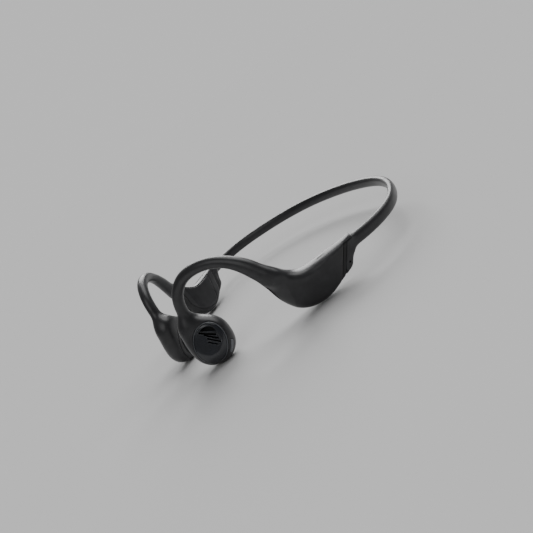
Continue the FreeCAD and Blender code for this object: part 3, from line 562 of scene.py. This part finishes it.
def face_panel(p, side):
    """The glossy face: an arched recess, deepest at its top, and slots through it."""
    v, u, n = EAR.local(p).T
    surface = moulding(p)
    plan = oval(v, u, FACE_MIDDLE, (FACE_SIZE[0] - PANEL_INSET, FACE_SIZE[1] - PANEL_INSET))
    f = smooth_max(np.maximum(surface + 0.05, PANEL_FLOOR - n), plan, 0.35)
    above = np.maximum(u - 6.2 + 0.5 * (v + 2.7), 0) * 0.9
    recess = np.maximum(arch_plane.read(v, u), -(surface + 0.25 * above))
    f = smooth_max(f, -recess, 0.15)
    top = np.maximum(arch_plane.read(v, u) + 0.1, 7.4 - 0.108 * (v + 0.7) - u)
    f = smooth_max(f, -np.maximum(top, SLOT_FLOOR - n), SLOT_ROUND)
    for start, stop, width in LOUVRES:
        slot = np.maximum(louvre(v, u, (start, stop), width), SLOT_FLOOR - n)
        f = smooth_max(f, -slot, SLOT_ROUND)
    return f


def vent_mesh(p, side):
    """The thin mesh plate behind the louvres."""
    v, u, n = EAR.local(p).T
    return np.maximum(oval(v, u, MESH_MIDDLE, MESH_SIZE), np.abs(n - MESH_LEVEL) - MESH_HALF)


def face_rim(p, side):
    """The thin satin ring round the face, standing just proud of the earpiece."""
    v, u, n = EAR.local(p).T
    size = (FACE_SIZE[0] - RIM_INSET, FACE_SIZE[1] - RIM_INSET)
    ring = np.abs(oval(v, u, FACE_MIDDLE, size)) - RIM_WIDE / 2
    return smooth_max(smooth_max(ring, moulding(p) - 0.05, 0.25), RIM_FLOOR - n, 0.1)


def key_cap(place, form, size, deep):
    """A key that stands proud of the form that it sits in, slightly dished along its length."""
    def field(p, side):
        x, y, z = place.local(p).T
        plan = pill(x, y, *size)
        top = form(p) - 0.24 + 0.05 * np.clip(1 - (x / (size[0] / 2)) ** 2, 0, 1)
        return smooth_max(smooth_max(plan, top, 0.45), -z - deep, 0.2)
    return field


# ---------------------------------------------------------------- meshing
BLOCK = 8           # voxels along a block
BATCH = 4000        # blocks sampled at a time
CLIP = 3            # voxels either side of the surface that the grid tells apart


def mesh_field(name, field, low, high, voxel, side):
    """Meshes the surface where field is zero within the box low-high, millimetres on the left
    side; the right side is the mirror image."""
    low = np.array(low, float)
    span = BLOCK * voxel
    blocks = np.ceil((np.array(high) - low) / span).astype(int)
    index = np.stack(np.meshgrid(*[np.arange(b) for b in blocks], indexing="ij"), -1)
    index = index.reshape(-1, 3)
    middles = low + (index + 0.5) * span
    coarse = field(middles, side)
    near = np.abs(coarse) < span * 1.35 + 0.4
    dense = np.repeat(np.repeat(np.repeat(
        np.where(coarse > 0, 1.0, -1.0).reshape(blocks), BLOCK, 0), BLOCK, 1), BLOCK, 2)
    dense = dense.astype(np.float32) * CLIP * voxel
    offsets = np.stack(np.meshgrid(*[np.arange(BLOCK)] * 3, indexing="ij"), -1).reshape(-1, 3)
    chosen = index[near]
    for start in range(0, len(chosen), BATCH):
        part = chosen[start:start + BATCH]
        cells = (part[:, None, :] * BLOCK + offsets[None]).reshape(-1, 3)
        values = field(low + cells * voxel, side)
        dense[cells[:, 0], cells[:, 1], cells[:, 2]] = np.clip(values, -CLIP * voxel,
                                                                    CLIP * voxel)
    grid = openvdb.FloatGrid()
    grid.background = CLIP * voxel
    grid.copyFromArray(dense)
    points, quads = grid.convertToQuads(isovalue=0.0)
    points = (points * voxel + low) * MM
    quads = quads.astype(int)
    if side == "right":
        points[:, 0] *= -1
    else:
        quads = quads[:, ::-1]
    return add_mesh(name, points, quads.tolist())


def add_mesh(name, points, faces):
    mesh = bpy.data.meshes.new(name)
    mesh.from_pydata(points.tolist(), [], faces)
    mesh.validate()
    mesh.shade_smooth()
    piece = bpy.data.objects.new(name, mesh)
    bpy.context.scene.collection.objects.link(piece)
    return piece


def outward(piece):
    """Turns the faces outward if the mesh's volume comes out negative."""
    mesh = piece.data
    mesh.calc_loop_triangles()
    points = np.empty(len(mesh.vertices) * 3)
    mesh.vertices.foreach_get("co", points)
    points = points.reshape(-1, 3)
    corners = np.empty(len(mesh.loop_triangles) * 3, int)
    mesh.loop_triangles.foreach_get("vertices", corners)
    a, b, c = points[corners].reshape(-1, 3, 3).transpose(1, 0, 2)
    if np.einsum("ij,ij->i", a, np.cross(b, c)).sum() < 0:
        mesh.flip_normals()
    return piece


def box_of(place, low, high, grow=1.0):
    """The world box, in millimetres, round a box given in a place's own axes."""
    corners = np.array([[(low, high)[i][0], (low, high)[j][1], (low, high)[k][2]]
                        for i in (0, 1) for j in (0, 1) for k in (0, 1)], float)
    world = corners @ place.axes + place.origin
    return world.min(0) - grow, world.max(0) + grow


# ---------------------------------------------------------------- materials
def new_material(name):
    material = bpy.data.materials.new(name)
    material.use_nodes = True
    nodes = material.node_tree.nodes
    return material, nodes, material.node_tree.links, nodes["Principled BSDF"]


def noise(nodes, links, scale, detail=3.0):
    """Noise over the object's own coordinates, whose scale is in cycles per metre."""
    where = nodes.new("ShaderNodeTexCoord")
    texture = nodes.new("ShaderNodeTexNoise")
    texture.inputs["Scale"].default_value = scale
    texture.inputs["Detail"].default_value = detail
    links.new(where.outputs["Object"], texture.inputs["Vector"])
    return texture.outputs["Fac"]


def ramp(nodes, links, source, low, high, first, last):
    """A colour or grey that goes from first to last as source goes from low to high."""
    ramped = nodes.new("ShaderNodeValToRGB")
    ramped.color_ramp.elements[0].position = low
    ramped.color_ramp.elements[0].color = (*first, 1)
    ramped.color_ramp.elements[1].position = high
    ramped.color_ramp.elements[1].color = (*last, 1)
    links.new(source, ramped.inputs["Fac"])
    return ramped.outputs["Color"]


def grey(value):
    return (value, value, value)


MOTTLE_SCALE = 260
SMEAR_SCALE = 90
SMEAR = 0.045               # how far the roughness strays either way
GRAIN_HIGH = 0.00002        # metres
COAT_ROUGHNESS = 0.08
SHEEN_ROUGHNESS = 0.4
WEAVE_SCALE = 3800


def moulded(name, colour, roughness, grain, bump, spread=0.25, coat=0.0, sheen=0.0, metal=0.0):
    """A moulded or machined surface: mottled colour, uneven gloss and a fine raised grain."""
    material, nodes, links, shader = new_material(name)
    colour = np.array(colour)
    mottle = noise(nodes, links, MOTTLE_SCALE)
    links.new(ramp(nodes, links, mottle, 0.3, 0.7, tuple(colour * (1 - spread)),
                   tuple(colour * (1 + spread))), shader.inputs["Base Color"])
    smear = noise(nodes, links, SMEAR_SCALE, 5.0)
    links.new(ramp(nodes, links, smear, 0.25, 0.75, grey(roughness - SMEAR),
                   grey(roughness + SMEAR)), shader.inputs["Roughness"])
    raised = nodes.new("ShaderNodeBump")
    raised.inputs["Strength"].default_value = bump
    raised.inputs["Distance"].default_value = GRAIN_HIGH
    links.new(noise(nodes, links, grain, 2.0), raised.inputs["Height"])
    links.new(raised.outputs["Normal"], shader.inputs["Normal"])
    shader.inputs["Metallic"].default_value = metal
    shader.inputs["Coat Weight"].default_value = coat
    shader.inputs["Coat Roughness"].default_value = COAT_ROUGHNESS
    shader.inputs["Sheen Weight"].default_value = sheen
    shader.inputs["Sheen Roughness"].default_value = SHEEN_ROUGHNESS
    return material


def woven(name):
    """Fine blackened steel mesh, its holes painted darker than the wire as painted shade of the
    cavity behind.
    """
    material, nodes, links, shader = new_material(name)
    where = nodes.new("ShaderNodeTexCoord")
    cells = nodes.new("ShaderNodeTexVoronoi")
    cells.inputs["Scale"].default_value = WEAVE_SCALE
    links.new(where.outputs["Object"], cells.inputs["Vector"])
    shaded_holes = cells.outputs["Distance"]
    # Painted shade: the holes are coloured darker than the wire, standing for the shaded cavity
    # seen through them.
    links.new(ramp(nodes, links, shaded_holes, 0.2, 0.5, grey(0.001), grey(0.012)),
              shader.inputs["Base Color"])
    links.new(ramp(nodes, links, shaded_holes, 0.2, 0.5, grey(0.95), grey(0.6)),
              shader.inputs["Roughness"])
    shader.inputs["Metallic"].default_value = 0.4
    shader.inputs["Specular IOR Level"].default_value = 0.2
    return material


def glowing_pipe(name):
    """A clear, faintly frosted light pipe."""
    material = moulded(name, (0.62, 0.66, 0.7), 0.3, 3000, 0.1, spread=0.05)
    shader = material.node_tree.nodes["Principled BSDF"]
    shader.inputs["Transmission Weight"].default_value = 0.4
    shader.inputs["IOR"].default_value = 1.58
    return material


MATERIALS = {
    "silicone_skin": moulded("silicone_skin", (0.016, 0.016, 0.018), 0.38, 5200, 0.22, sheen=0.12),
    "soft_touch_shell": moulded("soft_touch_shell", (0.019, 0.019, 0.021), 0.36, 6000, 0.25,
                                sheen=0.1),
    "dark_rubber": moulded("dark_rubber", (0.006, 0.006, 0.007), 0.55, 5200, 0.3),
    "gloss_face": moulded("gloss_face", (0.006, 0.008, 0.013), 0.24, 7000, 0.05, coat=0.6),
    "satin_trim": moulded("satin_trim", (0.10, 0.105, 0.115), 0.26, 7000, 0.08, coat=0.3),
    "steel_mesh": woven("steel_mesh"),
    "spring_wire": moulded("spring_wire", (0.55, 0.54, 0.52), 0.3, 4000, 0.1, metal=1.0),
    "cable_jacket": moulded("cable_jacket", (0.02, 0.02, 0.021), 0.5, 3000, 0.2),
    "bracket_plastic": moulded("bracket_plastic", (0.06, 0.06, 0.062), 0.5, 3500, 0.3),
    "copper": moulded("copper", (0.72, 0.34, 0.16), 0.32, 3000, 0.3, metal=1.0),
    "plated_steel": moulded("plated_steel", (0.56, 0.55, 0.53), 0.28, 5000, 0.1, metal=1.0),
    "magnet": moulded("magnet", (0.66, 0.66, 0.67), 0.18, 5000, 0.05, metal=1.0),
    "cell_pouch": moulded("cell_pouch", (0.6, 0.6, 0.61), 0.35, 1500, 0.3, metal=0.9),
    "circuit_board": moulded("circuit_board", (0.012, 0.07, 0.035), 0.35, 2500, 0.2),
    "shield_can": moulded("shield_can", (0.58, 0.57, 0.55), 0.33, 4000, 0.1, metal=1.0),
    "gold_contact": moulded("gold_contact", (0.83, 0.58, 0.22), 0.24, 5000, 0.1, metal=1.0),
    "light_pipe": glowing_pipe("light_pipe"),
    "key_rubber": moulded("key_rubber", (0.022, 0.022, 0.025), 0.36, 5200, 0.2, sheen=0.1),
}


def finish_piece(piece, slot, *nodes):
    """Gives a piece the material of its slot, and hides the CAD nodes that it stands for."""
    piece.data.materials.clear()
    piece.data.materials.append(MATERIALS[slot])
    if nodes:
        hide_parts(*nodes)
    return piece


# ---------------------------------------------------------------- the pieces of one side
POD_BOX = box_of(POD, (-15, -22, -6), (40, 9, 6))
EAR_BOX = box_of(EAR, (-16, -13, -7), (15, 19, 7))
HOOK_BOX = box_of(HOOK, (-4, -42, -4), (52, 4, 4))
WHOLE_BOX = (np.minimum(np.minimum(POD_BOX[0], EAR_BOX[0]), HOOK_BOX[0]),
             np.maximum(np.maximum(POD_BOX[1], EAR_BOX[1]), HOOK_BOX[1]))
BAND_BOX = ((-1.0, -6.0, 0.0), (81.0, 71.0, 24.0))
VOXEL = 0.3
BAND_VOXEL = 0.2
FINE = 0.15

# Name, field, box, voxel, slot, and the CAD nodes that it stands for, each without its side.
SIDE_PIECES = [
    ("housing", housing, WHOLE_BOX, VOXEL, "soft_touch_shell",
     ["pod_outer_shell", "hook_sleeve", "earpiece_outer_shell"]),
    ("pod_cover", pod_cover, POD_BOX, VOXEL, "soft_touch_shell", ["pod_inner_shell"]),
    ("ear_cover", ear_cover, EAR_BOX, VOXEL, "soft_touch_shell", ["earpiece_inner_shell"]),
    ("contact_cushion", contact_pad, EAR_BOX, FINE * 1.5, "silicone_skin", ["contact_pad"]),
    ("seam_strip", seam_strip, POD_BOX, FINE, "dark_rubber", ["pod_seal"]),
    ("face", face_panel, EAR_BOX, FINE, "gloss_face", ["face_panel"]),
    ("face_rim", face_rim, EAR_BOX, FINE, "satin_trim", ["face_trim"]),
    ("vent_mesh", vent_mesh, EAR_BOX, FINE * 1.5, "steel_mesh", ["vent_mesh"]),
]


def side_pieces(side):
    """The skins that ride one arm."""
    for name, field, (low, high), voxel, slot, nodes in SIDE_PIECES:
        piece = outward(mesh_field(f"{side}_{name}_skin", field, low, high, voxel, side))
        finish_piece(piece, slot, *[f"{side}_{node}" for node in nodes])
        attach(piece, f"{side}_arm")


def band_skin(side):
    """Half the neckband, meshed from its field and cut at the mid plane x = 0."""
    piece = mesh_field(f"{side}_band_skin", band_half, *BAND_BOX, BAND_VOXEL, side)
    mesh = piece.data
    keep_side = 1 if side == "left" else -1
    work = bmesh.new()
    work.from_mesh(mesh)
    bmesh.ops.bisect_plane(work, geom=work.verts[:] + work.edges[:] + work.faces[:],
                           plane_co=(0, 0, 0), plane_no=(keep_side, 0, 0), clear_inner=True)
    work.to_mesh(mesh)
    work.free()
    mesh.shade_smooth()
    outward(piece)
    return piece


def sweep(name, points, normals, radius, lift, ring=10):
    """A round core along the band's level centreline."""
    verts = []
    faces = []
    for i, (point, normal) in enumerate(zip(points, normals)):
        for j in range(ring):
            angle = 2 * math.pi * j / ring
            across = radius * math.cos(angle)
            up = radius * math.sin(angle) + lift
            verts.append((point[0] + across * normal[0], point[1] + across * normal[1],
                          BAND_LEVEL + up))
    for i in range(len(points) - 1):
        for j in range(ring):
            k = (j + 1) % ring
            faces.append((i * ring + j, i * ring + k, (i + 1) * ring + k, (i + 1) * ring + j))
    faces.append(tuple(range(ring))[::-1])
    faces.append(tuple((len(points) - 1) * ring + j for j in range(ring)))
    return outward(add_mesh(name, np.array(verts) * MM, faces))


def band_core(side, core, radius, lift, slot):
    """The spring wire or the cable in half the neckband."""
    route = route_points(BAND_ROUTE, 1.2) + np.array([-6.0, BAND_REAR])
    route = route[route[:, 0] >= -0.01]
    if side == "right":
        route = route * np.array([-1, 1])
    along = np.gradient(route, axis=0)
    along /= np.linalg.norm(along, axis=1)[:, None]
    normals = np.stack([-along[:, 1], along[:, 0]], 1)
    piece = sweep(f"{side}_band_{core}_core", route, normals, radius, lift)
    nodes = [f"{side}_band_{core}"] + ([f"rear_band_{core}"] if side == "left" else [])
    return finish_piece(piece, slot, *nodes)


def bend_with_arm(piece):
    """Bakes the piece's transform into its mesh."""
    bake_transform(piece)


for side in ("left", "right"):
    side_pieces(side)
    nodes = [f"{side}_band_sleeve", f"{side}_band_boot"]
    skin = finish_piece(band_skin(side), "silicone_skin",
                        *(nodes + (["rear_band_sleeve"] if side == "left" else [])))
    bend_with_arm(skin)
    bend_with_arm(band_core(side, "wire", WIRE_RADIUS, CORE_OFFSET, "spring_wire"))
    bend_with_arm(band_core(side, "cable", CABLE_RADIUS, -CORE_OFFSET, "cable_jacket"))

multi = key_cap(MULTI_KEY, ear_form, MULTI_KEY_SIZE, MULTI_KEY_DEEP)
low, high = box_of(MULTI_KEY, (-5, -2, -3), (5, 2, 1.5), 0.4)
key = outward(mesh_field("multifunction_key_cap", multi, low, high, FINE * 0.8, "left"))
finish_piece(key, "satin_trim", "multifunction_key")
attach(key, "multifunction_key")
for name, place in VOLUME_KEYS.items():
    cap = key_cap(place, pod_form, VOLUME_KEY_SIZE, VOLUME_KEY_DEEP)
    low, high = box_of(place, (-3, -2, -3), (3, 2, 1.5), 0.4)
    key = outward(mesh_field(f"{name}_cap", cap, low, high, FINE * 0.8, "right"))
    finish_piece(key, "key_rubber", name)
    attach(key, name)

low, high = box_of(POD, (LIGHT[0] - 1, LIGHT[1] - 1, 1), (LIGHT[0] + 1, LIGHT[1] + 1, 6), 0.4)
pipe = outward(mesh_field("status_light", light_pipe, low, high, FINE * 0.8, "right"))
finish_piece(pipe, "light_pipe", "status_light_pipe")
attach(pipe, "right_arm")

# ---------------------------------------------------------------- CAD pieces that stay
slot_of = {row["node"]: row["material_slot"] for row in frame["record"]["subparts"]}
for node, obj in frame["nodes"].items():
    obj.data.materials.clear()
    obj.data.materials.append(MATERIALS[slot_of[node]])


# ---------------------------------------------------------------- stage, light and camera
def plain(name, colour, roughness):
    """A matt surface, all but even in tone."""
    material, nodes, links, shader = new_material(name)
    tone = noise(nodes, links, 8)
    links.new(ramp(nodes, links, tone, 0.3, 0.7, grey(colour * 0.99), grey(colour)),
              shader.inputs["Base Color"])
    shader.inputs["Roughness"].default_value = roughness
    shader.inputs["Specular IOR Level"].default_value = 0
    return material


FLOOR_TONE = 0.56


def add_floor(size=120.0):
    mesh = bpy.data.meshes.new("floor")
    half = size / 2
    mesh.from_pydata([(-half, -half, 0), (half, -half, 0), (half, half, 0), (-half, half, 0)],
                     [], [(0, 1, 2, 3)])
    floor = bpy.data.objects.new("floor", mesh)
    mesh.materials.append(plain("pale_floor", FLOOR_TONE, 1.0))
    bpy.context.scene.collection.objects.link(floor)


def add_light(name, towards, strength, width):
    """A far soft light, width degrees across, in the direction towards."""
    data = bpy.data.lights.new(name, "SUN")
    data.energy = strength
    data.angle = math.radians(width)
    lamp = bpy.data.objects.new(name, data)
    lamp.location = towards
    lamp.rotation_mode = "QUATERNION"
    lamp.rotation_quaternion = towards.to_track_quat("Z", "Y")
    bpy.context.scene.collection.objects.link(lamp)


# The camera as solved from the picture: its axes, its place in metres, its lens in mm, and the
# small turn that centres the object as the picture does.
CAMERA_RIGHT = Vector((0.4623, 0.6619, -0.5901))
CAMERA_UP = Vector((0.1133, 0.6159, 0.7796))
CAMERA_BACK = Vector((0.8795, -0.4273, 0.2098))
CAMERA_SPOT = (0.3101, -0.1514, 0.0980)
CAMERA_LENS = 45.47
CAMERA_SENSOR = 36.0
AIM_LEFT = 0.01618
AIM_UP = 0.02544


def add_camera():
    """Beside and ahead of the wearer's left, low, and rolled."""
    data = bpy.data.cameras.new("camera")
    data.lens = CAMERA_LENS
    data.sensor_width = CAMERA_SENSOR
    data.clip_start = 0.01
    data.clip_end = 300
    back = (CAMERA_BACK - CAMERA_RIGHT * AIM_LEFT + CAMERA_UP * AIM_UP).normalized()
    right = CAMERA_UP.cross(back).normalized()
    up = back.cross(right)
    camera = bpy.data.objects.new("camera", data)
    camera.matrix_world = (Matrix.Translation(CAMERA_SPOT)
                           @ Matrix((right, up, back)).transposed().to_4x4())
    bpy.context.scene.collection.objects.link(camera)
    bpy.context.scene.camera = camera


def add_world(fill, seen):
    """An even grey sky that lights at strength fill and is seen at strength seen."""
    world = bpy.data.worlds.new("studio")
    world.use_nodes = True
    nodes = world.node_tree.nodes
    links = world.node_tree.links
    sky = nodes["Background"]
    path = nodes.new("ShaderNodeLightPath")
    level = nodes.new("ShaderNodeMapRange")
    level.inputs["To Min"].default_value = fill
    level.inputs["To Max"].default_value = seen
    links.new(path.outputs["Is Camera Ray"], level.inputs["Value"])
    links.new(level.outputs["Result"], sky.inputs["Strength"])
    sky.inputs["Color"].default_value = (1, 1, 1, 1)
    bpy.context.scene.world = world


add_floor()
add_camera()
# Far, wide lights, so that the floor is one even tone to its horizon: direction, strength and
# width in degrees.
LIGHTS = {
    "overhead": ((0.05, 0.55, 0.83), 1.7, 50.0),
    "behind": ((-0.68, 0.49, 0.54), 2.6, 40.0),
    "side": ((0.45, -0.65, 0.65), 0.6, 46.0),
}
SKY_FILL = 0.16
floor_light = SKY_FILL
for name, (towards, strength, width) in LIGHTS.items():
    towards = Vector(towards).normalized()
    add_light(name, towards, strength, width)
    floor_light += strength * towards.z / math.pi
add_world(fill=SKY_FILL, seen=FLOOR_TONE * floor_light)
